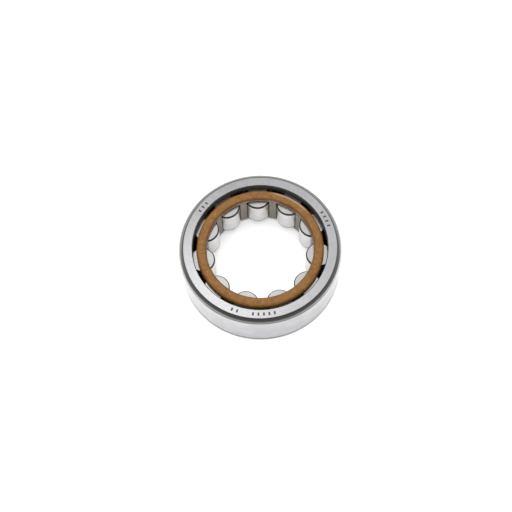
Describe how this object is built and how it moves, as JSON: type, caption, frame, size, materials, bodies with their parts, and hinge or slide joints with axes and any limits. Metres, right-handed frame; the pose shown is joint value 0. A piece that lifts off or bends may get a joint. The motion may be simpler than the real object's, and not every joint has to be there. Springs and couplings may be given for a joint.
{
  "type": "cylindrical roller bearing",
  "caption": "Cylindrical roller bearing without an inner ring: a two-ribbed outer ring and straight rollers in a grey comb cage with a brown cover ring.",
  "frame": {"origin": "centre of the lower side face of the outer ring, on the bearing axis", "axes": "+Z along the bearing axis towards the marked side face; +Y through the centre of roller_01"},
  "size_m": [0.047, 0.047, 0.014],
  "materials": {
    "ring_steel": "ground faces and seat, darker turned corners",
    "roller_steel": "superfinished sides, ground ends, dark edges",
    "cage_grey": "satin, phosphated",
    "cage_brown": "moulded, satin"
  },
  "bodies": {
    "outer_ring": {"outer_ring": "ring_steel"},
    "cage": {"cage_comb": "cage_grey", "cage_cover_ring": "cage_brown"},
    "roller_01": {"roller_01": "roller_steel"},
    "roller_02": {"roller_02": "roller_steel"},
    "roller_03": {"roller_03": "roller_steel"},
    "roller_04": {"roller_04": "roller_steel"},
    "roller_05": {"roller_05": "roller_steel"},
    "roller_06": {"roller_06": "roller_steel"},
    "roller_07": {"roller_07": "roller_steel"},
    "roller_08": {"roller_08": "roller_steel"},
    "roller_09": {"roller_09": "roller_steel"},
    "roller_10": {"roller_10": "roller_steel"},
    "roller_11": {"roller_11": "roller_steel"}
  },
  "joints": [
    {"name": "cage_spin", "type": "hinge", "parent": "outer_ring", "child": "cage", "pos_m": [0, 0, 0.007], "axis": [0, 0, 1], "continuous": true},
    {"name": "roller_01_spin", "type": "hinge", "parent": "cage", "child": "roller_01", "pos_m": [0, 0.017, 0.007], "axis": [0, 0, 1], "continuous": true},
    {"name": "roller_02_spin", "type": "hinge", "parent": "cage", "child": "roller_02", "pos_m": [-0.00919, 0.0143, 0.007], "axis": [0, 0, 1], "continuous": true},
    {"name": "roller_03_spin", "type": "hinge", "parent": "cage", "child": "roller_03", "pos_m": [-0.01546, 0.00706, 0.007], "axis": [0, 0, 1], "continuous": true},
    {"name": "roller_04_spin", "type": "hinge", "parent": "cage", "child": "roller_04", "pos_m": [-0.01683, -0.00242, 0.007], "axis": [0, 0, 1], "continuous": true},
    {"name": "roller_05_spin", "type": "hinge", "parent": "cage", "child": "roller_05", "pos_m": [-0.01285, -0.01113, 0.007], "axis": [0, 0, 1], "continuous": true},
    {"name": "roller_06_spin", "type": "hinge", "parent": "cage", "child": "roller_06", "pos_m": [-0.00479, -0.01631, 0.007], "axis": [0, 0, 1], "continuous": true},
    {"name": "roller_07_spin", "type": "hinge", "parent": "cage", "child": "roller_07", "pos_m": [0.00479, -0.01631, 0.007], "axis": [0, 0, 1], "continuous": true},
    {"name": "roller_08_spin", "type": "hinge", "parent": "cage", "child": "roller_08", "pos_m": [0.01285, -0.01113, 0.007], "axis": [0, 0, 1], "continuous": true},
    {"name": "roller_09_spin", "type": "hinge", "parent": "cage", "child": "roller_09", "pos_m": [0.01683, -0.00242, 0.007], "axis": [0, 0, 1], "continuous": true},
    {"name": "roller_10_spin", "type": "hinge", "parent": "cage", "child": "roller_10", "pos_m": [0.01546, 0.00706, 0.007], "axis": [0, 0, 1], "continuous": true},
    {"name": "roller_11_spin", "type": "hinge", "parent": "cage", "child": "roller_11", "pos_m": [0.00919, 0.0143, 0.007], "axis": [0, 0, 1], "continuous": true}
  ],
  "couplings": [
    {"joint": "roller_01_spin", "follows": "cage_spin", "ratio": -5.5333},
    {"joint": "roller_02_spin", "follows": "cage_spin", "ratio": -5.5333},
    {"joint": "roller_03_spin", "follows": "cage_spin", "ratio": -5.5333},
    {"joint": "roller_04_spin", "follows": "cage_spin", "ratio": -5.5333},
    {"joint": "roller_05_spin", "follows": "cage_spin", "ratio": -5.5333},
    {"joint": "roller_06_spin", "follows": "cage_spin", "ratio": -5.5333},
    {"joint": "roller_07_spin", "follows": "cage_spin", "ratio": -5.5333},
    {"joint": "roller_08_spin", "follows": "cage_spin", "ratio": -5.5333},
    {"joint": "roller_09_spin", "follows": "cage_spin", "ratio": -5.5333},
    {"joint": "roller_10_spin", "follows": "cage_spin", "ratio": -5.5333},
    {"joint": "roller_11_spin", "follows": "cage_spin", "ratio": -5.5333}
  ]
}
